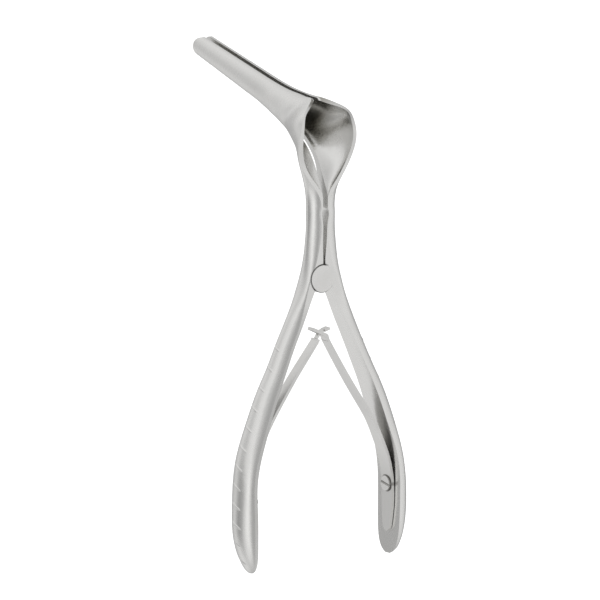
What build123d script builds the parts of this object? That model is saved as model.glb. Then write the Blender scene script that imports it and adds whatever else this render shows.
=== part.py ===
from build123d import *

import os
from math import atan2, cos, degrees, radians, sin, sqrt

os.makedirs("parts", exist_ok=True)

# Frame: X across the handles, +Y away from the user along the blades,
# +Z up along the handles, origin on the hinge axis.

# Fits and gaps
slit = 0.8
ear_play = 0.08
layer_play = 0.06
spring_play = 0.15

# Joint; its axis lies left of the slit by the shift and above the level zero
# of the tables below by the rise
joint_shift = 0.9
joint_rise = 0.4
ear_radius = 4.0
joint_half_width = 2.7
ear_bevel = 0.25
pin_radius = 1.5
pin_play = 0.06
pin_skin = 0.9

# Grip and neck, one row per level: height, inner face X, outer X, half width,
# straight side of the D section, turn of the section, and how far the inner
# and the outer face of both halves lie toward the left
bar_levels = [
    (-81.4, 23.4, 24.0, 0.8, 0.25, 6, 0.1, 0.3),
    (-80.7, 23.4, 24.7, 2.0, 0.4, 6, 0.1, 0.3),
    (-79.0, 23.45, 25.7, 3.3, 0.6, 6, 0.1, 0.35),
    (-76.2, 23.6, 26.9, 4.2, 0.9, 6, 0.1, 0.4),
    (-72.0, 23.75, 28.1, 4.6, 1.0, 6, 0.1, 0.4),
    (-64.0, 23.9, 28.6, 4.75, 1.0, 6, 0.1, 0.4),
    (-57.0, 23.9, 28.2, 4.75, 1.0, 6, 0.3, 0.55),
    (-50.5, 22.85, 27.3, 4.6, 1.0, 6, 0.4, 0.7),
    (-44.0, 20.7, 25.6, 4.2, 1.0, 6, 0.4, 0.65),
    (-37.5, 18.4, 23.3, 3.85, 0.95, 6, 0.3, 0.6),
    (-31.0, 15.85, 20.6, 3.5, 0.95, 6, 0.25, 0.6),
    (-24.5, 12.95, 17.3, 3.2, 0.9, 6, 0.3, 0.55),
    (-18.5, 10.25, 14.55, 2.95, 0.9, 5, 0.4, 0.55),
    (-13.0, 7.6, 11.95, 2.8, 1.0, 4, 0.4, 0.45),
    (-8.0, 5.4, 9.6, joint_half_width, 1.5, 2, 0.45, 0.3),
    (-3.8, 3.6, 7.7, joint_half_width, 2.3, 0, 0.5, 0.15),
    (0.4, 1.6, 6.35, joint_half_width, 2.9, 0, 0.5, 0),
    (4.6, 0.4, 5.5, 2.65, 2.4, 0, 0.5, 0),
    (8.6, 0.52, 5.0, 2.55, 1.3, 0, 0.35, 0),
    (12.4, 0.66, 4.65, 2.5, 0.6, 0, 0.15, 0),
    (16.2, 0.78, 4.45, 2.5, 0.5, 0, 0.03, 0),
    (20.2, slit, 4.4, 2.5, 0.5, 0, 0, 0),
]

# Blade end: its middle, the rise of the blade there, its height, the rounding of
# its corners and the room that the trimming cut takes around it
tip_y = 58.4
tip_z = 58.9
blade_rise = 14.5
tip_height = 5.9
tip_round = 2.5
tip_room = 8.0
tip_blend = 4.0

# Funnel and blade, one row per fanned plane: front Y and Z, rear Y and Z,
# outer X at the rear, front straight side, front and rear fullness, end turn,
# dip of the rim land
horn_levels = [
    (2.5, 21.8, -2.5, 22.0, 1.5, 0.5, 4.15, 4.0, 87, 0),
    (2.5, 23.4, -2.5, 24.0, 2.2, 0.5, 4.0, 3.7, 80, 0),
    (2.55, 26.8, -2.5, 28.0, 5.0, 0.5, 3.4, 2.7, 45, 0),
    (2.9, 30.1, -2.5, 32.0, 7.7, 0.5, 3.1, 1.8, 18, 0),
    (4.0, 33.0, -3.2, 36.4, 9.3, 0.5, 3.1, 2.5, 4, 0),
    (5.9, 35.5, -4.0, 41.0, 9.6, 0.5, 3.3, 4.6, 0, 0),
    (7.9, 37.3, -3.8, 44.8, 8.9, 0.5, 3.7, 5.4, 15, 0.5),
    (9.7, 38.7, -3.0, 47.6, 7.6, 0.5, 4.2, 5.3, 35, 1.6),
    (11.5, 39.9, -0.9, 49.7, 4.6, 0.5, 4.8, 5.0, 60, 2.4),
    (13.5, 41.0, 1.8, 50.95, 1.9, 0.5, 4.9, 4.7, 76, 0.6),
    (15.7, 42.0, 4.8, 51.05, 1.6, 0.45, 4.7, 4.5, 82, 0.2),
    (18.0, 43.0, 8.0, 51.2, 1.4, 0.4, 4.4, 4.4, 85, 0),
    (20.4, 44.0, 11.6, 51.5, 1.3, 0.4, 4.2, 4.1, 87, 0),
    (22.8, 45.0, 15.3, 51.95, 1.3, 0.4, 3.9, 3.8, 88, 0),
    (25.4, 45.95, 19.2, 52.65, 1.2, 0.4, 3.6, 3.5, 89, 0),
    (28.2, 46.95, 23.2, 53.5, 1.2, 0.4, 3.4, 3.3, 90, 0),
]
blade_end_front = (tip_y + 3.2, tip_z - 2.0)
blade_end_rear = (tip_y + 1.4, tip_z + 3.3)
blade_end_level = blade_end_front + blade_end_rear + (1.2, 0.4, 2.5, 2.5, 90, 0)
blade_steps = 8

# Hollow on the same planes from the top of the neck up: front wall, end X,
# end past the rear line, front and rear fullness, end turn
hollow_levels = [
    (5.3, 0.9, 0.9, 0.1, 0.1, 0),
    (5.2, 0.95, 0.75, 0.1, 0.1, 0),
    (4.9, 1.0, 0.6, 0.2, 0.2, 0),
    (3.4, 3.6, 0.6, 1.6, 1.4, 10),
    (2.2, 6.4, 0.6, 2.2, 2.0, 5),
    (1.6, 8.1, 0.6, 2.5, 2.9, 0),
    (1.5, 8.5, 0.6, 2.6, 4.6, 0),
    (1.4, 7.8, 0.6, 2.9, 5.2, 15),
    (1.3, 6.4, 0.5, 3.2, 5.4, 35),
    (1.2, 1.9, 0.3, 3.5, 6.5, 60),
    (1.15, -1.0, -0.33, 3.6, 7.2, 76),
    (1.1, -1.0, -0.75, 3.4, 6.6, 82),
    (1.1, -1.0, -0.9, 3.1, 6.2, 85),
    (1.05, -1.0, -1.0, 2.9, 5.8, 87),
    (1.0, -1.0, -1.0, 2.6, 5.4, 88),
    (1.0, -1.0, -1.0, 2.3, 5.1, 89),
    (1.0, -1.0, -1.0, 2.1, 4.8, 90),
]
hollow_end_level = (0.9, -1.0, -0.9, 1.2, 3.9, 90)
hollow_back = -1.6

# Grip ridges, as many as the pitch allows between top and bottom
ridge_top = -18.3
ridge_bottom = -78.2
ridge_pitch = 5.42
ridge_count = int((ridge_top - ridge_bottom) / ridge_pitch) + 1
ridge_radius = 0.55
ridge_height = 0.24
ridge_reach = 0.45

# Leaf springs: centre lines from the foot up, as distance from the middle and Z
spring_thickness = 0.9
right_line = [
    (23.15, -75.0),
    (23.3, -70.0),
    (23.4, -64.0),
    (23.15, -59.0),
    (22.45, -55.0),
    (21.35, -51.3),
    (19.95, -48.0),
    (17.8, -43.2),
    (13.6, -36.5),
    (9.3, -30.0),
    (5.7, -24.2),
    (1.8, -17.6),
]
left_line = [
    (23.3, -75.0),
    (23.5, -70.0),
    (23.65, -64.0),
    (23.8, -58.0),
    (22.95, -50.8),
    (20.75, -44.3),
    (17.0, -37.7),
    (13.5, -32.7),
    (9.5, -27.2),
    (5.2, -21.8),
    (1.8, -17.6),
]
tab_end = (-3.2, -14.0)
tab_bend = (1.3, -16.15)
tongue_neck = (-1.55, -16.95)
tongue_bend = (-0.1, -15.0)
tongue_turn = (0.9, -14.8)
tongue_end = (2.6, -14.35)
tongue_thickness = 0.7
spring_foot_half_width = 2.45
spring_tip_half_width = 1.5
tongue_half_width = 0.6
tongue_head_half_width = 1.1
slot_x = (-1.6, 0.5)

# Spring screws
screw_z = -61.2
screw_head_radius = 2.25
screw_head_height = 0.7
screw_stem_radius = 1.1
screw_depth = 3.0
slot_width = 0.7
slot_depth = 0.4
slot_turn = 11


def half_section(front, rear, start, side, full_front, end, full_rear, turn, back, dip=0):
    """Closed outline: back face, front side, arch and rear side on one plane."""
    reach = sqrt((rear[0] - front[0]) ** 2 + (rear[1] - front[1]) ** 2)
    lean = ((rear[0] - front[0]) / reach, (rear[1] - front[1]) / reach)

    def at(x, v):
        return Vector(x, front[0] + lean[0] * v, front[1] + lean[1] * v)

    angle = radians(turn)
    end_v = reach + end[1]
    p0 = at(start + side, full_front[0])
    p1 = at(start + side + full_front[1], full_front[0])
    p2 = at(end[0] + full_rear * sin(angle), end_v - full_rear * cos(angle))
    p3 = at(end[0], end_v)
    corner_front = at(back, full_front[0])
    corner_rear = at(back, end_v - dip)
    return Wire(
        [
            Edge.make_line(corner_front, p0),
            Edge.make_bezier(p0, p1, p2, p3),
            Edge.make_line(p3, corner_rear),
            Edge.make_line(corner_rear, corner_front),
        ]
    )


def evenly(first, last, steps):
    """Rows between two levels, each dimension changing evenly."""
    return [
        tuple(a + (b - a) * step / steps for a, b in zip(first, last))
        for step in range(1, steps + 1)
    ]


def bar_section(row, hand):
    """D section; hand is 1 for the right half and -1 for the left, drawn mirrored."""
    z, inner, outer, half, side, turn, inner_shift, outer_shift = row
    inner -= hand * inner_shift
    outer -= hand * outer_shift
    full = 4 / 3 * (outer - inner - side)
    flat = half_section(
        (half, z), (-half, z), inner, side, (0, full), (inner + side, 0), full, 90, inner
    )
    return flat.rotate(Axis((inner, 0, z), (0, 0, 1)), turn)


def horn_section(row):
    fy, fz, ry, rz, rear_x, side, full, full_rear, turn, dip = row
    return half_section(
        (fy, fz), (ry, rz), slit, side, (0, full), (rear_x, 0), full_rear, turn, slit, dip
    )


def hollow_section(row, horn):
    wall, end_x, past, full, full_rear, turn = row
    fy, fz, ry, rz = horn[:4]
    return half_section(
        (fy, fz), (ry, rz), slit, 0.1, (wall, full), (end_x, past), full_rear, turn, hollow_back
    )


def y_cylinder(radius, y_from, y_to):
    """Cylinder on the hinge axis."""
    mid = (y_from + y_to) / 2
    return Pos(-joint_shift, mid, joint_rise) * Rot(X=90) * Cylinder(radius, y_to - y_from)


def arch_hit(body, y, z):
    hits = body.find_intersection_points(Axis((60, y, z), (-1, 0, 0)))
    return max(hits, key=lambda hit: hit[0].X)


def ribbon(line, thickness):
    """Flat outline of even thickness about a smooth line of X, Z points."""
    centre = Edge.make_spline([Vector(x, 0, z) for x, z in line])
    steps = 2 * len(line)
    left, right = [], []
    for step in range(steps + 1):
        point = centre.position_at(step / steps)
        tangent = centre.tangent_at(step / steps)
        across = Vector(tangent.Z, 0, -tangent.X) * (thickness / 2)
        left.append(point + across)
        right.append(point - across)
    a = Edge.make_spline(left)
    b = Edge.make_spline(right)
    ends = [Edge.make_line(left[-1], right[-1]), Edge.make_line(right[0], left[0])]
    return Face(Wire([a, ends[0], b, ends[1]]))


def bar_between(start, end, thickness, half_width):
    """Straight strip between two X, Z points."""
    length = sqrt((end[0] - start[0]) ** 2 + (end[1] - start[1]) ** 2)
    slope = degrees(atan2(end[1] - start[1], end[0] - start[0]))
    middle = Pos((start[0] + end[0]) / 2, 0, (start[1] + end[1]) / 2)
    return middle * Rot(Y=-slope) * Box(length, 2 * half_width, thickness)


def knee_at(point, thickness, half_width):
    return Pos(point[0], 0, point[1]) * Rot(X=90) * Cylinder(thickness / 2, 2 * half_width)


def half_width_at(z):
    """Half width of the grip at a height, read off the levels in a straight line."""
    for low, high in zip(bar_levels, bar_levels[1:]):
        if low[0] <= z <= high[0]:
            return low[3] + (high[3] - low[3]) * (z - low[0]) / (high[0] - low[0])
    return joint_half_width


def x_cylinder(radius, x_from, x_to, z):
    return Pos((x_from + x_to) / 2, 0, z) * Rot(Y=90) * Cylinder(radius, x_to - x_from)


# Funnel and blade with their hollow and a rounded blade end
neck_top = bar_levels[-1]
neck_plane = (neck_top[3], neck_top[0], -neck_top[3], neck_top[0])
horn_levels += evenly(horn_levels[-1], blade_end_level, blade_steps)
hollow_levels += evenly(hollow_levels[-1], hollow_end_level, blade_steps)
hollow_planes = [neck_plane] + horn_levels
hollow = Solid.make_loft([hollow_section(a, b) for a, b in zip(hollow_levels, hollow_planes)])
horn = Solid.make_loft([bar_section(neck_top, 1)] + [horn_section(row) for row in horn_levels])

rise = radians(blade_rise)
end_plane = Plane((0, tip_y, tip_z), x_dir=(0, cos(rise), sin(rise)), z_dir=(1, 0, 0))
keep = Pos(-tip_room, 0) * Rectangle(2 * tip_room, tip_height)
keep = fillet(keep.vertices().sort_by(Axis.X)[-2:], min(tip_round, 0.45 * tip_height))
around = Rectangle(tip_room + tip_blend, tip_height + 2 * tip_room)
beyond = Pos((tip_room - tip_blend) / 2, 0) * around - keep
horn = horn - hollow - extrude(end_plane * beyond, tip_room, both=True)


def half_blank(hand):
    """One half on the +X side with its grip ridges, before the joint is cut."""
    bar = Solid.make_loft([bar_section(row, hand) for row in bar_levels])
    ridged = bar + horn
    for step in range(ridge_count):
        z = ridge_top - step * ridge_pitch
        reach = ridge_reach * half_width_at(z)
        crown, normal = arch_hit(bar, 0, z)
        sink = normal * (ridge_radius - ridge_height)
        deep = normal * (ridge_radius + 0.15)
        a = arch_hit(bar, -reach, z)[0] - deep
        b = crown - sink
        c = arch_hit(bar, reach, z)[0] - deep
        path = Edge.make_three_point_arc(a, b, c)
        bead = sweep(Plane(a, z_dir=path.tangent_at(0)) * Circle(ridge_radius), path)
        ridged = ridged + bead
    return bar, ridged


right_bar, right_blank = half_blank(1)
left_bar, left_blank = half_blank(-1)


def spring_screw(bar):
    """Screw head and stem, pointing into the grip on the +X side."""
    inner_hits = bar.find_intersection_points(Axis((-60, 0, screw_z), (1, 0, 0)))
    seat_x = min(point.X for point, normal in inner_hits)
    under_head = seat_x - spring_thickness + 0.1
    head_top = under_head - screw_head_height
    head = x_cylinder(screw_head_radius, head_top, under_head, screw_z)
    head = fillet(head.edges().filter_by(GeomType.CIRCLE).sort_by(Axis.X)[:1], 0.25)
    driver = Rot(X=slot_turn) * Box(2 * slot_depth, 6, slot_width)
    head = head - Pos(head_top, 0, screw_z) * driver
    stem = x_cylinder(screw_stem_radius, under_head, seat_x + screw_depth, screw_z)
    return head + stem, stem


right_screw, right_stem = spring_screw(right_bar)
left_screw, left_stem = spring_screw(left_bar)

# Leaf springs, each lying on its own grip and crossing on the middle plane
top = right_line[-1]
foot = right_line[0][1]
side_edge = [
    (0.9, foot + 0.45),
    (1.7, foot + 2.2),
    (spring_foot_half_width - 0.15, foot + 7),
    (spring_foot_half_width, screw_z + 2),
]
near_side = Spline([(0, y, z) for y, z in side_edge], tangents=[(0, 1, 0.6), (0, 0, 1)])
far_side = mirror(near_side, Plane.XZ)
taper = Polyline(
    (0, -spring_foot_half_width, screw_z + 2),
    (0, -spring_tip_half_width, top[1]),
    (0, -spring_tip_half_width, 0),
    (0, spring_tip_half_width, 0),
    (0, spring_tip_half_width, top[1]),
    (0, spring_foot_half_width, screw_z + 2),
)
foot_end = ThreePointArc(near_side @ 0, (0, 0, foot), far_side @ 0)
leaf_outline = make_face(taper + near_side + far_side + foot_end)
width_body = extrude(leaf_outline, 40, both=True, dir=(1, 0, 0))


def leaf(line, bar, screw):
    """Leaf lying on the grip from its foot to the top of its line."""
    band = extrude(ribbon(line, spring_thickness), 4, both=True, dir=(0, 1, 0))
    return (band & width_body) - bar - screw


shank = bar_between(tab_bend, top, spring_thickness, spring_tip_half_width)
tab = bar_between(tab_end, tab_bend, spring_thickness, spring_tip_half_width)
tab_slot = Pos((slot_x[0] + slot_x[1]) / 2, 0, -15) * Box(
    slot_x[1] - slot_x[0], 2 * (tongue_half_width + spring_play), 6
)
knee = knee_at(tab_bend, spring_thickness, spring_tip_half_width)
right_leaf_spring = leaf(right_line, right_bar, right_screw) + shank + knee + (tab - tab_slot)

left_top = (-top[0], top[1])
left_leaf_spring = mirror(leaf(left_line, left_bar, left_screw), Plane.YZ)
left_leaf_spring += bar_between(left_top, tongue_neck, spring_thickness, spring_tip_half_width)
left_leaf_spring += bar_between(tongue_neck, tongue_bend, tongue_thickness, tongue_half_width)
left_leaf_spring += knee_at(tongue_bend, tongue_thickness, tongue_half_width)
left_leaf_spring += bar_between(tongue_bend, tongue_turn, tongue_thickness, tongue_half_width)
left_leaf_spring += bar_between(tongue_turn, tongue_end, tongue_thickness, tongue_head_half_width)

# Joint: the right half's ear lies in front, the left half's behind it
y_out = joint_half_width
half_layer = layer_play / 2
ear_front = y_cylinder(ear_radius, -y_out, -half_layer)
ear_front = chamfer(ear_front.edges().filter_by(GeomType.CIRCLE).sort_by(Axis.Y)[0], ear_bevel)
ear_rear = y_cylinder(ear_radius, half_layer, y_out)
ear_rear = chamfer(ear_rear.edges().filter_by(GeomType.CIRCLE).sort_by(Axis.Y)[-1], ear_bevel)
pit_front = y_cylinder(ear_radius + ear_play, -y_out - 2, half_layer)
pit_rear = y_cylinder(ear_radius + ear_play, -half_layer, y_out + 2)
pin_end = -y_out + pin_skin
pivot_pin = y_cylinder(pin_radius, pin_end, y_out)
pin_room = y_cylinder(pin_radius + pin_play, pin_end - pin_play, 0)

right_half = right_blank - right_stem - pit_rear + ear_front - pin_room
left_half = mirror(left_blank - left_stem, Plane.YZ) - pit_front + ear_rear - pivot_pin

pieces = {
    "left_half": left_half,
    "right_half": right_half,
    "pivot_pin": pivot_pin,
    "left_leaf_spring": left_leaf_spring,
    "right_leaf_spring": right_leaf_spring,
    "left_spring_screw": mirror(left_screw, Plane.YZ),
    "right_spring_screw": right_screw,
}
for name, shape in pieces.items():
    export_step(Pos(joint_shift, 0, -joint_rise) * shape, f"parts/{name}.step")
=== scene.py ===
import math

import bpy
import bmesh
import numpy as np
from mathutils import Matrix, Vector


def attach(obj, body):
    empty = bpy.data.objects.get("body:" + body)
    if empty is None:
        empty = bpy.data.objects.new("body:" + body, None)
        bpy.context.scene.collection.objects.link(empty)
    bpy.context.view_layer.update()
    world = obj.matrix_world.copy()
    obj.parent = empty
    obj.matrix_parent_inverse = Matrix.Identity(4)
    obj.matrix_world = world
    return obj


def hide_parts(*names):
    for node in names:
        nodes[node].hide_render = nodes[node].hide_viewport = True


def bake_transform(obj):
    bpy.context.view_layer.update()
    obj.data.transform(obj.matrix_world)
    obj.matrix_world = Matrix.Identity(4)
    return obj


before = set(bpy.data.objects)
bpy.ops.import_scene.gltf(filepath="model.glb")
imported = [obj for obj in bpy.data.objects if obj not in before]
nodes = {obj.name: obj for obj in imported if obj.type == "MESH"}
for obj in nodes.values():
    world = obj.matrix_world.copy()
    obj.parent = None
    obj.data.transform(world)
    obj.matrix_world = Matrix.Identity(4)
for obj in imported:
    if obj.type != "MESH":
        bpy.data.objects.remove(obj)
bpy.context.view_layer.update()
print("frame loaded:", len(nodes), "solids")

# Where the photograph was taken from, and what it frames
view = {
    "azimuth": -35.0,       # degrees, to the left of the user's side
    "elevation": 10.7,      # degrees above level
    "distance": 2.6,        # metres, long enough for the flat look of the picture
    "frameWidth": 0.168,    # metres across the frame at the hinge
    "aimRight": -0.00495,   # metres from the hinge to the frame's centre, across
    "aimUp": -0.00632,      # and upward
    "sensorWidth": 36.0,    # millimetres
    "clip": (0.1, 50.0),    # metres, nearest and farthest that is drawn
}

azimuth = math.radians(view["azimuth"])
elevation = math.radians(view["elevation"])
towardCamera = Vector((
    math.sin(azimuth) * math.cos(elevation),
    -math.cos(azimuth) * math.cos(elevation),
    math.sin(elevation),
))
cameraRight = Vector((math.cos(azimuth), math.sin(azimuth), 0))
cameraUp = towardCamera.cross(cameraRight)


def addObject(name, data):
    made = bpy.data.objects.new(name, data)
    bpy.context.scene.collection.objects.link(made)
    return made


def placeCamera():
    lens = bpy.data.cameras.new("photoCamera")
    lens.sensor_width = view["sensorWidth"]
    lens.lens = view["sensorWidth"] * view["distance"] / view["frameWidth"]
    lens.clip_start, lens.clip_end = view["clip"]
    camera = addObject("photoCamera", lens)
    aim = cameraRight * view["aimRight"] + cameraUp * view["aimUp"]
    turn = Matrix((cameraRight, cameraUp, towardCamera)).transposed().to_4x4()
    camera.matrix_world = Matrix.Translation(aim + towardCamera * view["distance"]) @ turn
    bpy.context.scene.camera = camera


placeCamera()
print("camera placed")


def link(tree, a, b):
    tree.links.new(a, b)


def addNode(tree, kind, x=0, y=0, **settings):
    node = tree.nodes.new(kind)
    node.location = (x, y)
    for name, value in settings.items():
        setattr(node, name, value)
    return node


def newGroup(name, inputs, outputs):
    group = bpy.data.node_groups.new(name, "ShaderNodeTree")
    for socketName, socketType, default in inputs:
        socket = group.interface.new_socket(socketName, in_out="INPUT", socket_type=socketType)
        socket.default_value = default
    for socketName, socketType in outputs:
        group.interface.new_socket(socketName, in_out="OUTPUT", socket_type=socketType)
    return group, addNode(group, "NodeGroupOutput", 700)


# Smooth step of a value between two limits
def ramp(tree, source, low, high):
    node = addNode(tree, "ShaderNodeMapRange", -100, interpolation_type="SMOOTHSTEP")
    node.inputs["From Min"].default_value = low
    node.inputs["From Max"].default_value = high
    link(tree, source, node.inputs["Value"])
    return node.outputs["Result"]


# A sum, product or the like of sockets and plain values; a sign, a size without
# its sign and a root take one alone
def combine(tree, operation, a, b=0.0):
    node = addNode(tree, "ShaderNodeMath", -300, operation=operation)
    for socket, value in zip(node.inputs, (a, b)):
        if isinstance(value, float):
            socket.default_value = value
        else:
            link(tree, value, socket)
    return node.outputs[0]


def lengthOf(tree, a, b):
    square = combine(tree, "ADD", combine(tree, "MULTIPLY", a, a), combine(tree, "MULTIPLY", b, b))
    return combine(tree, "SQRT", square)


# Fine polishing lines: noise on object coordinates, stretched along the grain so
# that each cell becomes a long hair line, with broader uneven patches under it
polish = {
    "hairDetail": 3.0,
    "patchScale": 140.0,      # cells per metre
    "patchDetail": 4.0,
    "hairShare": 0.35,        # of the hair lines in the dullness, the rest is patches
    "range": (0.3, 0.7),      # noise at the glossiest and at the dullest
    "relief": 0.00004,        # metres, of the hair lines and the scratches
}


def makePolishGrain():
    group, out = newGroup(
        "polishGrain",
        [("Stretch", "NodeSocketVector", (1, 1, 0.04)), ("Fineness", "NodeSocketFloat", 7000.0)],
        [("Height", "NodeSocketFloat"), ("Dullness", "NodeSocketFloat")],
    )
    given = addNode(group, "NodeGroupInput", -900)
    place = addNode(group, "ShaderNodeTexCoord", -900, -250)
    stretched = addNode(group, "ShaderNodeVectorMath", -650, 0, operation="MULTIPLY")
    link(group, place.outputs["Object"], stretched.inputs[0])
    link(group, given.outputs["Stretch"], stretched.inputs[1])
    hair = addNode(group, "ShaderNodeTexNoise", -420, 80)
    hair.inputs["Detail"].default_value = polish["hairDetail"]
    link(group, stretched.outputs[0], hair.inputs["Vector"])
    link(group, given.outputs["Fineness"], hair.inputs["Scale"])
    patches = addNode(group, "ShaderNodeTexNoise", -420, -180)
    patches.inputs["Scale"].default_value = polish["patchScale"]
    patches.inputs["Detail"].default_value = polish["patchDetail"]
    link(group, place.outputs["Object"], patches.inputs["Vector"])
    mixed = addNode(group, "ShaderNodeMix", -280, -260, data_type="FLOAT")
    mixed.inputs["Factor"].default_value = polish["hairShare"]
    link(group, patches.outputs["Fac"], mixed.inputs["A"])
    link(group, hair.outputs["Fac"], mixed.inputs["B"])
    glossiest, dullest = polish["range"]
    level = addNode(group, "ShaderNodeMapRange", -150, -100)
    level.inputs["From Min"].default_value = glossiest
    level.inputs["From Max"].default_value = dullest
    level.inputs["To Min"].default_value = -1.0
    level.inputs["To Max"].default_value = 1.0
    link(group, mixed.outputs["Result"], level.inputs["Value"])
    link(group, hair.outputs["Fac"], out.inputs["Height"])
    link(group, level.outputs["Result"], out.inputs["Dullness"])
    return group


# Handling marks: a few short thin scratches and faint smudges, as masks, and
# what a full scratch or smudge does to the steel
handling = {
    "scratchTurn": (0.5, 0.9, 0.3),      # radians, off the object's axes
    "scratchStretch": (1.0, 1.0, 0.12),
    "scratchScale": 1600.0,              # cells per metre
    "scratchDetail": 2.0,
    "scratchEdge": (0.68, 0.74),         # noise where a scratch starts and is full
    "scratchRoughness": -0.06,           # added to the roughness
    "smudgeScale": 60.0,                 # cells per metre
    "smudgeDetail": 5.0,
    "smudgeSoftness": 0.6,
    "smudgeEdge": (0.52, 0.72),          # noise where a smudge starts and is full
    "smudgeRoughness": 0.05,             # added to the roughness
    "smudgeTarnish": 0.3,                # share of the tarnish colour
}


def makeHandlingMarks():
    group, out = newGroup(
        "handlingMarks",
        [("Scratches", "NodeSocketFloat", 1.0), ("Smudges", "NodeSocketFloat", 1.0)],
        [("Scratch", "NodeSocketFloat"), ("Smudge", "NodeSocketFloat")],
    )
    given = addNode(group, "NodeGroupInput", -900)
    place = addNode(group, "ShaderNodeTexCoord", -900, -250)
    turned = addNode(group, "ShaderNodeMapping", -700, 100)
    turned.inputs["Rotation"].default_value = handling["scratchTurn"]
    turned.inputs["Scale"].default_value = handling["scratchStretch"]
    link(group, place.outputs["Object"], turned.inputs["Vector"])
    lines = addNode(group, "ShaderNodeTexNoise", -480, 100)
    lines.inputs["Scale"].default_value = handling["scratchScale"]
    lines.inputs["Detail"].default_value = handling["scratchDetail"]
    link(group, turned.outputs["Vector"], lines.inputs["Vector"])
    cloud = addNode(group, "ShaderNodeTexNoise", -480, -200)
    cloud.inputs["Scale"].default_value = handling["smudgeScale"]
    cloud.inputs["Detail"].default_value = handling["smudgeDetail"]
    cloud.inputs["Roughness"].default_value = handling["smudgeSoftness"]
    link(group, place.outputs["Object"], cloud.inputs["Vector"])
    for noise, edge, amount, mask in (
        (lines, "scratchEdge", "Scratches", "Scratch"),
        (cloud, "smudgeEdge", "Smudges", "Smudge"),
    ):
        start, full = handling[edge]
        cut = addNode(group, "ShaderNodeMapRange", -250)
        cut.inputs["From Min"].default_value = start
        cut.inputs["From Max"].default_value = full
        link(group, noise.outputs["Fac"], cut.inputs["Value"])
        scaled = combine(group, "MULTIPLY", cut.outputs["Result"], given.outputs[amount])
        link(group, scaled, out.inputs[mask])
    return group


# The dark tone inside the funnel and the blade channel, which stands in for a
# reflection: on faces that look towards the slit, away from its flat lands, above
# the neck and towards the blade
channel = {
    "slitX": 0.0009,            # metres, middle of the slit
    "land": (0.0010, 0.0015),   # from the slit: flat land, then hollow
    "height": (0.027, 0.033),   # the tone starts above the neck
    "facing": (0.0, 0.35),      # how far a face looks at the slit: no shade, full shade
    "across": (0.82, 0.57),     # share of Y and of Z in the way into the funnel
    "edgeZ": 0.0447,            # metres, height of the tone's edge on the middle plane
    "depth": (0.0006, 0.0050),  # from that edge: no shade, full shade
    "tone": (0.3, 0.29, 0.255),
    "strength": 0.85,
}


def makeChannelShade():
    group, out = newGroup("channelShade", [], [("Shade", "NodeSocketFloat")])
    place = addNode(group, "ShaderNodeTexCoord", -900, -250)
    point = addNode(group, "ShaderNodeSeparateXYZ", -700, 100)
    facing = addNode(group, "ShaderNodeSeparateXYZ", -700, -200)
    link(group, place.outputs["Object"], point.inputs[0])
    link(group, place.outputs["Normal"], facing.inputs[0])
    offset = combine(group, "SUBTRACT", point.outputs["X"], channel["slitX"])
    side = combine(group, "SIGN", offset)
    outward = combine(group, "MULTIPLY", facing.outputs["X"], side)
    away = combine(group, "ABSOLUTE", offset)
    shareY, shareZ = channel["across"]
    deep = combine(group, "MULTIPLY", point.outputs["Y"], shareY)
    above = combine(group, "SUBTRACT", point.outputs["Z"], channel["edgeZ"])
    raised = combine(group, "MULTIPLY", above, shareZ)
    shade = ramp(group, combine(group, "MULTIPLY", outward, -1.0), *channel["facing"])
    for part in (
        ramp(group, away, *channel["land"]),
        ramp(group, point.outputs["Z"], *channel["height"]),
        ramp(group, combine(group, "ADD", deep, raised), *channel["depth"]),
    ):
        shade = combine(group, "MULTIPLY", shade, part)
    link(group, shade, out.inputs["Shade"])
    return group


# Painted shade in the seam round each ear, a dark line: a thin ring about the hinge axis on
# the front and rear faces, left out where the ear runs into its own half
seam = {
    "radius": 0.00405,             # metres from the hinge axis
    "width": (0.00035, 0.0001),    # off the ring: no shade, full shade
    "face": (0.0014, 0.002),       # from the middle plane: none, full
    "side": (-0.0022, -0.0008),    # towards the ear's own half: none, full
    "tone": (0.05, 0.047, 0.042),
    "strength": 0.8,
}


def makeJointSeamShade():
    group, out = newGroup("jointSeamShade", [], [("Shade", "NodeSocketFloat")])
    place = addNode(group, "ShaderNodeTexCoord", -900, -250)
    point = addNode(group, "ShaderNodeSeparateXYZ", -700, 100)
    link(group, place.outputs["Object"], point.inputs[0])
    x, y, z = (point.outputs[axis] for axis in "XYZ")
    off = combine(group, "SUBTRACT", lengthOf(group, x, z), seam["radius"])
    off = combine(group, "ABSOLUTE", off)
    face = combine(group, "SIGN", y)
    shade = ramp(group, off, *seam["width"])
    for part in (
        ramp(group, combine(group, "ABSOLUTE", y), *seam["face"]),
        ramp(group, combine(group, "MULTIPLY", x, face), *seam["side"]),
    ):
        shade = combine(group, "MULTIPLY", shade, part)
    link(group, shade, out.inputs["Shade"])
    return group


# Painted shade about the spring screws: a dark ring on the leaf round each head's edge, and
# the bottom of the slot across the head
screwShade = {
    "height": -0.0616,                # metres, axis of both screws
    "headRadius": 0.0023,
    "ringWidth": (0.00028, 0.0001),   # off the head's edge: no shade, full shade
    "slotTurn": 11.0,                 # degrees
    "slotWidth": (0.00036, 0.00024),  # off the slot's middle: no shade, full shade
    "tone": (0.1, 0.094, 0.084),
    "strength": 0.75,
}


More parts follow.
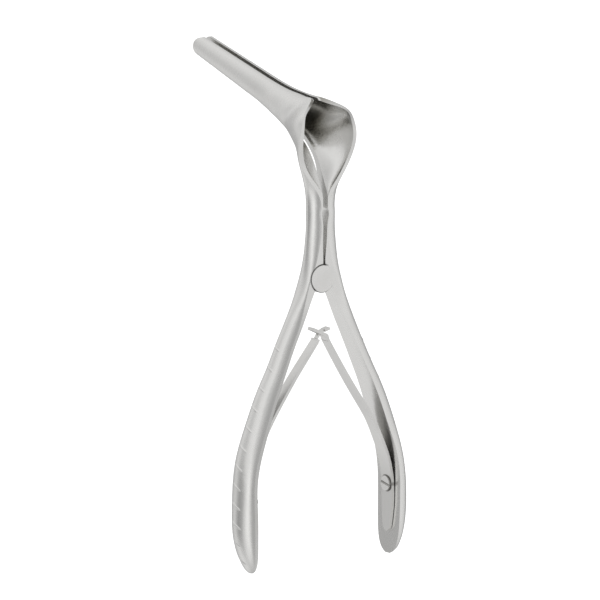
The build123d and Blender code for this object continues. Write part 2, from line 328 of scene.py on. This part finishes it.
def makeScrewShade():
    group, out = newGroup(
        "screwShade",
        [("Place", "NodeSocketVector", (0, 0, 0))],
        [("Ring", "NodeSocketFloat"), ("Slot", "NodeSocketFloat")],
    )
    given = addNode(group, "NodeGroupInput", -900)
    point = addNode(group, "ShaderNodeSeparateXYZ", -700, 100)
    link(group, given.outputs["Place"], point.inputs[0])
    y = point.outputs["Y"]
    z = combine(group, "SUBTRACT", point.outputs["Z"], screwShade["height"])
    off = combine(group, "SUBTRACT", lengthOf(group, y, z), screwShade["headRadius"])
    ring = ramp(group, combine(group, "ABSOLUTE", off), *screwShade["ringWidth"])
    turn = math.radians(screwShade["slotTurn"])
    across = combine(group, "SUBTRACT", combine(group, "MULTIPLY", z, math.cos(turn)),
                     combine(group, "MULTIPLY", y, math.sin(turn)))
    slot = ramp(group, combine(group, "ABSOLUTE", across), *screwShade["slotWidth"])
    link(group, ring, out.inputs["Ring"])
    link(group, slot, out.inputs["Slot"])
    return group


polishGrain = makePolishGrain()
handlingMarks = makeHandlingMarks()
channelShade = makeChannelShade()
jointSeamShade = makeJointSeamShade()
screwMask = makeScrewShade()

# One finish for each kind of piece: its colours, how rough it is, how its grain
# runs, and the painted shade and painted reflection on it
finishes = {
    "forgedSatin": {
        "colour": (0.80, 0.795, 0.78),
        "tarnish": (0.70, 0.69, 0.665),
        "roughness": 0.27,
        "roughnessSpread": 0.035,
        "stretch": (1, 1, 0.04),
        "fineness": 7000.0,
        "grain": 0.1,
        "scratches": 1.0,
        "smudges": 0.6,
        # painted reflection in the funnel and painted shade in the ear seam
        "paintedShades": [(channel, channelShade, "Shade"), (seam, jointSeamShade, "Shade")],
    },
    "springLeaf": {
        "colour": (0.75, 0.745, 0.73),
        "tarnish": (0.64, 0.63, 0.60),
        "roughness": 0.31,
        "roughnessSpread": 0.05,
        "stretch": (0.25, 1, 0.06),
        "fineness": 7000.0,
        "grain": 0.1,
        "scratches": 0.8,
        "smudges": 0.8,
        # painted shade round each screw head
        "paintedShades": [(screwShade, screwMask, "Ring")],
        "bends": True,
    },
    "turnedScrew": {
        "colour": (0.84, 0.835, 0.82),
        "tarnish": (0.60, 0.59, 0.56),
        "roughness": 0.22,
        "roughnessSpread": 0.05,
        "stretch": (0.1, 1, 1),
        "fineness": 5000.0,
        "grain": 0.1,
        "scratches": 0.6,
        "smudges": 1.0,
        # painted shade in the slot and round the head
        "paintedShades": [(screwShade, screwMask, "Slot"), (screwShade, screwMask, "Ring")],
    },
    "rivetPin": {
        "colour": (0.78, 0.775, 0.76),
        "tarnish": (0.62, 0.61, 0.58),
        "roughness": 0.3,
        "roughnessSpread": 0.05,
        "stretch": (1, 0.1, 1),
        "fineness": 5000.0,
        "grain": 0.1,
        "scratches": 0.6,
        "smudges": 1.0,
    },
}


# A bending piece carries its own rest positions, so its marks stay where they are
def placeOf(tree, finish):
    if finish.get("bends"):
        kept = addNode(tree, "ShaderNodeAttribute", -700, 500, attribute_name="restPlace")
        return kept.outputs["Vector"]
    return addNode(tree, "ShaderNodeTexCoord", -700, 500).outputs["Object"]


def multiplyAdd(tree, source, factor, added):
    node = addNode(tree, "ShaderNodeMath", -50, 60, operation="MULTIPLY_ADD")
    link(tree, source, node.inputs[0])
    node.inputs[1].default_value = factor
    if isinstance(added, float):
        node.inputs[2].default_value = added
    else:
        link(tree, added, node.inputs[2])
    return node.outputs[0]


# The finish's roughness, uneven with the grain, more in a smudge, less in a scratch
def steelRoughness(tree, finish, grain, marks):
    rough = multiplyAdd(
        tree, grain.outputs["Dullness"], finish["roughnessSpread"], finish["roughness"]
    )
    rough = multiplyAdd(tree, marks.outputs["Smudge"], handling["smudgeRoughness"], rough)
    return multiplyAdd(tree, marks.outputs["Scratch"], handling["scratchRoughness"], rough)


# Clean steel, a little warmer and darker in a smudge, then each patch of painted shade and painted
# reflection on it
def steelColour(tree, finish, marks):
    tone = addNode(tree, "ShaderNodeMix", -50, 320, data_type="RGBA")
    tone.inputs["A"].default_value = (*finish["colour"], 1)
    tone.inputs["B"].default_value = (*finish["tarnish"], 1)
    tarnished = combine(tree, "MULTIPLY", marks.outputs["Smudge"], handling["smudgeTarnish"])
    link(tree, tarnished, tone.inputs["Factor"])
    colour = tone.outputs["Result"]
    # each entry paints shade into the colour; the funnel's is a painted reflection
    for paintedShade, mask, output in finish.get("paintedShades", []):
        where = addNode(tree, "ShaderNodeGroup", -500, 500, node_tree=mask)
        if "Place" in where.inputs:
            link(tree, placeOf(tree, finish), where.inputs["Place"])
        shadedColour = addNode(tree, "ShaderNodeMix", 150, 400, data_type="RGBA")
        shadedColour.inputs["B"].default_value = (*paintedShade["tone"], 1)
        amount = combine(tree, "MULTIPLY", where.outputs[output], paintedShade["strength"])
        link(tree, amount, shadedColour.inputs["Factor"])
        link(tree, colour, shadedColour.inputs["A"])
        colour = shadedColour.outputs["Result"]
    return colour


# Hair lines with the scratches cut in
def steelRelief(tree, finish, grain, marks):
    lines = combine(tree, "SUBTRACT", grain.outputs["Height"], marks.outputs["Scratch"])
    bump = addNode(tree, "ShaderNodeBump", 150, -200)
    bump.inputs["Strength"].default_value = finish["grain"]
    bump.inputs["Distance"].default_value = polish["relief"]
    link(tree, lines, bump.inputs["Height"])
    return bump.outputs["Normal"]


def makeSteel(name):
    finish = finishes[name]
    material = bpy.data.materials.new(name)
    material.use_nodes = True
    tree = material.node_tree
    tree.nodes.clear()
    out = addNode(tree, "ShaderNodeOutputMaterial", 700)
    steel = addNode(tree, "ShaderNodeBsdfPrincipled", 400)
    steel.inputs["Metallic"].default_value = 1.0
    grain = addNode(tree, "ShaderNodeGroup", -500, 100, node_tree=polishGrain)
    grain.inputs["Stretch"].default_value = finish["stretch"]
    grain.inputs["Fineness"].default_value = finish["fineness"]
    marks = addNode(tree, "ShaderNodeGroup", -500, -200, node_tree=handlingMarks)
    marks.inputs["Scratches"].default_value = finish["scratches"]
    marks.inputs["Smudges"].default_value = finish["smudges"]
    link(tree, steelRoughness(tree, finish, grain, marks), steel.inputs["Roughness"])
    link(tree, steelColour(tree, finish, marks), steel.inputs["Base Color"])
    link(tree, steelRelief(tree, finish, grain, marks), steel.inputs["Normal"])
    link(tree, steel.outputs[0], out.inputs["Surface"])
    return material


steels = {name: makeSteel(name) for name in finishes}
finishOf = {
    "left_half": "forgedSatin",
    "right_half": "forgedSatin",
    "pivot_pin": "rivetPin",
    "left_leaf_spring": "springLeaf",
    "right_leaf_spring": "springLeaf",
    "left_spring_screw": "turnedScrew",
    "right_spring_screw": "turnedScrew",
}
for nodeName, finishName in finishOf.items():
    for materialSlot in nodes[nodeName].material_slots:
        materialSlot.material = steels[finishName]
print("steel finishes made:", len(steels))

mergeDistance = 1e-6   # metres, between corners of neighbouring triangles


def smoothStep(t):
    t = np.clip(t, 0, 1)
    return t * t * (3 - 2 * t)


def readVectors(source, count):
    values = np.empty(3 * count, np.float32)
    source.foreach_get("vector", values)
    return values.reshape(-1, 3)


def readPoints(mesh):
    points = np.empty(3 * len(mesh.vertices), np.float32)
    mesh.vertices.foreach_get("co", points)
    return points.reshape(-1, 3)


# A copy of a CAD node with its loose triangles merged and its smooth corner
# normals kept; reshape may move points and turn normals as whole arrays
def copyOfNode(nodeName, pieceName, reshape=None):
    mesh = nodes[nodeName].data.copy()
    piece = addObject(pieceName, mesh)
    kept = mesh.attributes.new("cornerNormal", "FLOAT_VECTOR", "CORNER")
    kept.data.foreach_set("vector", readVectors(mesh.corner_normals, len(mesh.loops)).ravel())
    shape = bmesh.new()
    shape.from_mesh(mesh)
    bmesh.ops.remove_doubles(shape, verts=shape.verts, dist=mergeDistance)
    shape.to_mesh(mesh)
    shape.free()
    normals = readVectors(mesh.attributes["cornerNormal"].data, len(mesh.loops))
    mesh.attributes.remove(mesh.attributes["cornerNormal"])
    if reshape:
        normals = reshape(mesh, normals)
    mesh.normals_split_custom_set(normals.tolist())
    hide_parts(nodeName)
    return piece


# The ridges lie aslant on the real grips, lower at the front. The arch of each
# grip slides along itself, so its form hardly changes while the ridges turn:
# slide = slope * y, fading out towards the edges and the ends of the grip
ridgeSlant = {
    "slope": 0.45,
    "top": -0.0165,        # metres, the ridged stretch
    "bottom": -0.0785,
    "fade": 0.0022,        # metres, at each end of it
    "innerShare": 0.5,     # of the half width, full slide
    "outerShare": 0.92,    # of the half width, no slide
    "levels": 36,          # heights at which the lines of the grip are read
    "reach": 0.0015,       # metres, how near a level a point counts
    "degree": 6,           # of the smooth lines through them
}


# At each point, the lean of the grip's outer line and the share of its half width
def readGrip(x, y, z):
    low, high = ridgeSlant["bottom"], ridgeSlant["top"]
    levels = np.linspace(low, high, ridgeSlant["levels"])
    near = [np.abs(z - level) < ridgeSlant["reach"] for level in levels]
    smoothLine = np.polynomial.Polynomial.fit
    outerLine = smoothLine(levels, [x[n].max() for n in near], ridgeSlant["degree"])
    widthLine = smoothLine(levels, [np.abs(y[n]).max() for n in near], ridgeSlant["degree"])
    inGrip = np.clip(z, low, high)
    return outerLine.deriv()(inGrip), np.abs(y) / widthLine(inGrip)


def slantRidges(hand):
    def reshape(mesh, normals):
        points = readPoints(mesh)
        x, y, z = hand * points[:, 0], points[:, 1], points[:, 2]
        low, high, fade = ridgeSlant["bottom"], ridgeSlant["top"], ridgeSlant["fade"]
        lean, share = readGrip(x, y, z)
        span = ridgeSlant["outerShare"] - ridgeSlant["innerShare"]
        amount = 1 - smoothStep((share - ridgeSlant["innerShare"]) / span)
        amount *= smoothStep((z - low + fade) / fade) * smoothStep((high + fade - z) / fade)
        amount *= hand * readVectors(mesh.vertex_normals, len(mesh.vertices))[:, 0] > 0
        slope = ridgeSlant["slope"] * amount
        along = np.stack([hand * lean, np.zeros_like(z), np.ones_like(z)], axis=1)
        along /= np.linalg.norm(along, axis=1, keepdims=True)
        moved = points + along * (slope * y)[:, None]
        mesh.vertices.foreach_set("co", moved.ravel())
        corner = np.empty(len(mesh.loops), np.int32)
        mesh.loops.foreach_get("vertex_index", corner)
        turned = normals.copy()
        turned[:, 1] -= (normals * along[corner]).sum(axis=1) * slope[corner]
        return turned / np.linalg.norm(turned, axis=1, keepdims=True)

    return reshape


for nodeName, pieceName, body, hand in (
    ("left_half", "leftHalf", "left_lever", -1),
    ("right_half", "rightHalf", "right_lever", 1),
):
    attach(copyOfNode(nodeName, pieceName, slantRidges(hand)), body)
print("halves made with slanted ridges")


def bendingLeaf(nodeName, pieceName):
    piece = copyOfNode(nodeName, pieceName)
    rest = piece.data.attributes.new("restPlace", "FLOAT_VECTOR", "POINT")
    rest.data.foreach_set("vector", readPoints(piece.data).ravel())
    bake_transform(piece)


bendingLeaf("left_leaf_spring", "leftLeaf")
bendingLeaf("right_leaf_spring", "rightLeaf")
print("leaf springs made")

# Studio: a pale floor that glows and a soft tent of light around the object. Each
# band of the tent has its height, -1 straight down to 1 straight up, and its
# brightness against the turn in degrees from the camera's side, right positive.
# The levels were matched to the greys of the photograph, first by a fit, then one by one
studio = {
    "floorZ": -0.35,
    "floorSize": 30.0,
    "floorTone": (0.95, 0.95, 0.95),
    "floorRoughness": 0.9,
    "floorGlow": 0.55,
    "tentLevel": 1.0,
    "tent": [
        (-1.0, [(-180, 0.6), (180, 0.6)]),
        (-0.6, [(-180, 0.5), (-125, 0.85), (-75, 0.72), (-40, 0.9), (0, 0.8),
                (40, 0.5), (90, 0.72), (140, 0.45), (180, 0.5)]),
        (-0.2, [(-180, 0.4), (-150, 0.48), (-120, 0.72), (-84, 0.28), (-60, 0.38),
               (-38, 0.72), (-20, 1.02), (-4, 1.15), (14, 0.8), (30, 0.5), (48, 0.38),
               (72, 0.92), (106, 0.78), (132, 0.46), (158, 0.3), (180, 0.34)]),
        (0.35, [(-180, 0.66), (-120, 0.82), (-80, 0.66), (-40, 0.86), (-12, 0.9),
                (12, 0.62), (42, 0.46), (60, 0.5), (88, 0.75), (120, 0.66),
                (150, 0.45), (180, 0.6)]),
        (1.0, [(-180, 0.85), (180, 0.85)]),
    ],
}


def makeFloor():
    half = studio["floorSize"] / 2
    z = studio["floorZ"]
    mesh = bpy.data.meshes.new("paleFloor")
    corners = [(-half, -half, z), (half, -half, z), (half, half, z), (-half, half, z)]
    mesh.from_pydata(corners, [], [(0, 1, 2, 3)])
    floor = addObject("paleFloor", mesh)
    paper = bpy.data.materials.new("palePaper")
    paper.use_nodes = True
    surface = paper.node_tree.nodes["Principled BSDF"]
    surface.inputs["Base Color"].default_value = (*studio["floorTone"], 1)
    surface.inputs["Roughness"].default_value = studio["floorRoughness"]
    surface.inputs["Emission Color"].default_value = (1, 1, 1, 1)
    surface.inputs["Emission Strength"].default_value = studio["floorGlow"]
    mesh.materials.append(paper)
    floor.visible_glossy = False   # the steel mirrors the tent alone


def tentBand(tree, turn, stops):
    band = addNode(tree, "ShaderNodeValToRGB", -140, 50)
    tones = band.color_ramp
    tones.interpolation = "EASE"
    while len(tones.elements) < len(stops):
        tones.elements.new(0.5)
    for element, (angle, tone) in zip(tones.elements, stops):
        element.position = (angle + 180) / 360
        element.color = (tone, tone, tone, 1)
    link(tree, turn, band.inputs["Fac"])
    return band.outputs["Color"]


# The turn of a direction from the camera's side, 0 to 1 for -180 to 180 degrees
def tentTurn(tree, direction):
    level = Vector((towardCamera.x, towardCamera.y, 0)).normalized()
    along = addNode(tree, "ShaderNodeVectorMath", -700, 150, operation="DOT_PRODUCT")
    along.inputs[1].default_value = level
    across = addNode(tree, "ShaderNodeVectorMath", -700, -50, operation="DOT_PRODUCT")
    across.inputs[1].default_value = cameraRight
    turn = addNode(tree, "ShaderNodeMath", -500, 50, operation="ARCTAN2")
    share = addNode(tree, "ShaderNodeMapRange", -320, 50)
    share.inputs["From Min"].default_value = -math.pi
    share.inputs["From Max"].default_value = math.pi
    link(tree, direction, along.inputs[0])
    link(tree, direction, across.inputs[0])
    link(tree, across.outputs["Value"], turn.inputs[0])
    link(tree, along.outputs["Value"], turn.inputs[1])
    link(tree, turn.outputs[0], share.inputs["Value"])
    return share.outputs["Result"]


# Each band blends into the next with the height of the direction
def tentLight(tree, direction):
    turn = tentTurn(tree, direction)
    parts = addNode(tree, "ShaderNodeSeparateXYZ", -700, -250)
    link(tree, direction, parts.inputs[0])
    lowest, *higher = studio["tent"]
    below, stops = lowest
    light = tentBand(tree, turn, stops)
    for above, stops in higher:
        height = addNode(tree, "ShaderNodeMapRange", 0, -250)
        height.inputs["From Min"].default_value = below
        height.inputs["From Max"].default_value = above
        mixed = addNode(tree, "ShaderNodeMix", 180, 0, data_type="RGBA")
        link(tree, parts.outputs["Z"], height.inputs["Value"])
        link(tree, height.outputs["Result"], mixed.inputs["Factor"])
        link(tree, light, mixed.inputs["A"])
        link(tree, tentBand(tree, turn, stops), mixed.inputs["B"])
        light = mixed.outputs["Result"]
        below = above
    return light


# The tent lights the steel, and the camera itself sees plain white behind it
def makeTent():
    world = bpy.data.worlds.new("studioTent")
    bpy.context.scene.world = world
    world.use_nodes = True
    tree = world.node_tree
    tree.nodes.clear()
    out = addNode(tree, "ShaderNodeOutputWorld", 900)
    glow = addNode(tree, "ShaderNodeBackground", 500, 100)
    glow.inputs["Strength"].default_value = studio["tentLevel"]
    white = addNode(tree, "ShaderNodeBackground", 500, -100)
    white.inputs["Color"].default_value = (1, 1, 1, 1)
    seen = addNode(tree, "ShaderNodeLightPath", 500, 400)
    shown = addNode(tree, "ShaderNodeMixShader", 700)
    direction = addNode(tree, "ShaderNodeTexCoord", -900)
    link(tree, tentLight(tree, direction.outputs["Generated"]), glow.inputs["Color"])
    link(tree, seen.outputs["Is Camera Ray"], shown.inputs[0])
    link(tree, glow.outputs[0], shown.inputs[1])
    link(tree, white.outputs[0], shown.inputs[2])
    link(tree, shown.outputs[0], out.inputs["Surface"])


makeFloor()
makeTent()
bpy.context.scene.view_settings.view_transform = "Standard"
print("studio made")
